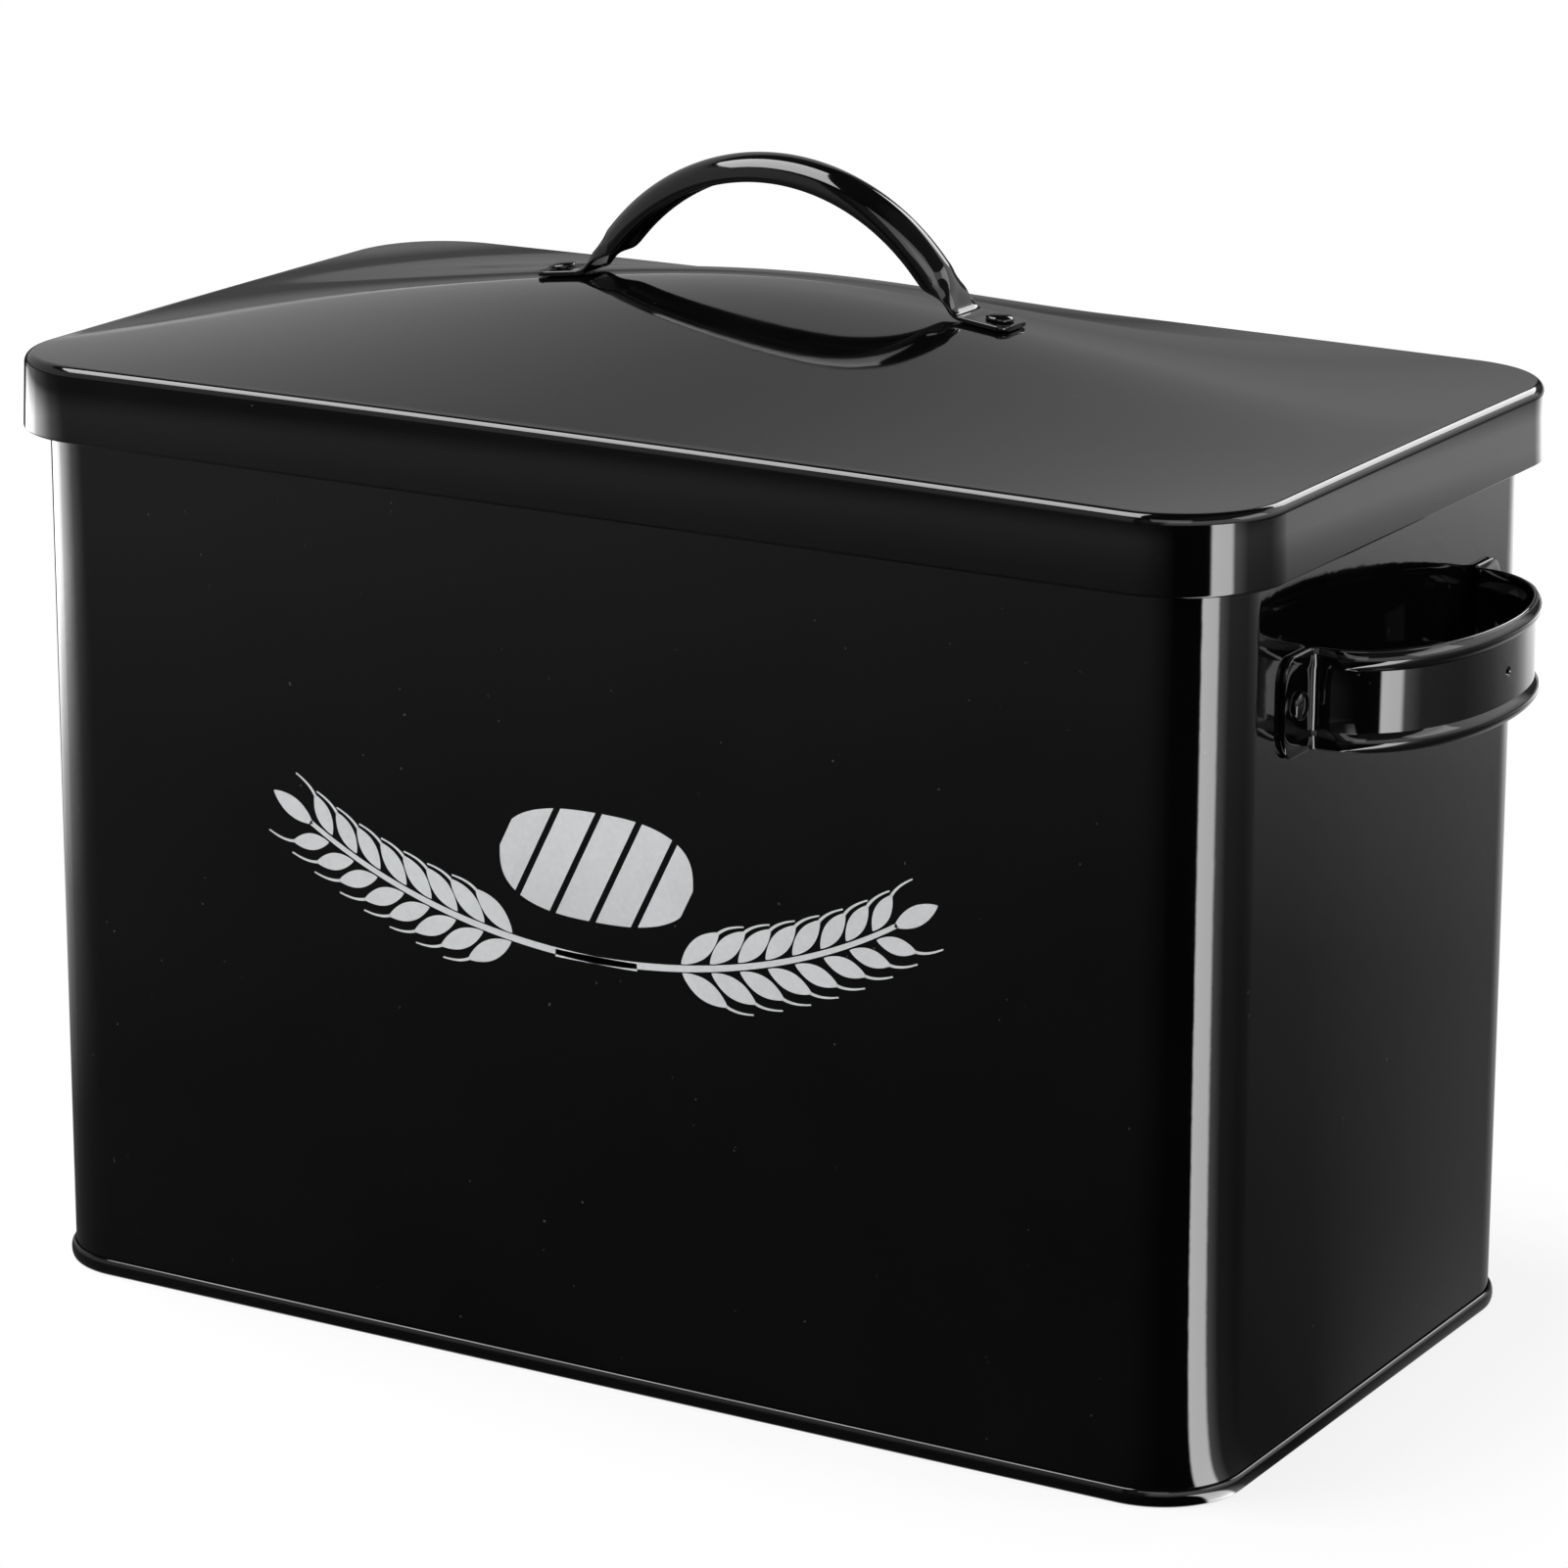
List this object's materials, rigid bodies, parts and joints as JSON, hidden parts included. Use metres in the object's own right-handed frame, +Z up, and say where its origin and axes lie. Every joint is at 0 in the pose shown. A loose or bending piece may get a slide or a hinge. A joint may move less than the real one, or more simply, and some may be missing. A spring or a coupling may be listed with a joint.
{
  "type": "bread box",
  "caption": "Tall black sheet-steel bread bin with a lift-off domed lid, a strap handle on the lid and a beaded band handle on each end.",
  "frame": {"origin": "centre of the footprint on the table, at the underside of the foot seam", "axes": "+X along the bin's length towards its right end, -Y towards the front face, +Z up"},
  "size_m": [0.378, 0.1826, 0.2772],
  "materials": {
    "body_enamel": "gloss black stoved enamel on steel sheet",
    "lid_enamel": "gloss black stoved enamel on pressed steel",
    "handle_enamel": "gloss black stoved enamel on steel strip",
    "rivet_enamel": "gloss black enamel over a rivet head",
    "silver_print": "matt silver-grey screen print"
  },
  "bodies": {
    "bin": {"body_wall": "body_enamel", "base_pan": "body_enamel", "side_handle_left": "handle_enamel", "side_handle_right": "handle_enamel", "side_handle_rivet_left_front": "rivet_enamel", "side_handle_rivet_left_back": "rivet_enamel", "side_handle_rivet_right_front": "rivet_enamel", "side_handle_rivet_right_back": "rivet_enamel"},
    "lid": {"lid_shell": "lid_enamel", "lid_handle": "handle_enamel", "lid_handle_rivet_left": "rivet_enamel", "lid_handle_rivet_right": "rivet_enamel"}
  },
  "joints": [
    {"name": "lid_lift", "type": "slide", "parent": "bin", "child": "lid", "axis": [0, 0, 1], "range_m": [0, 0.25]}
  ]
}
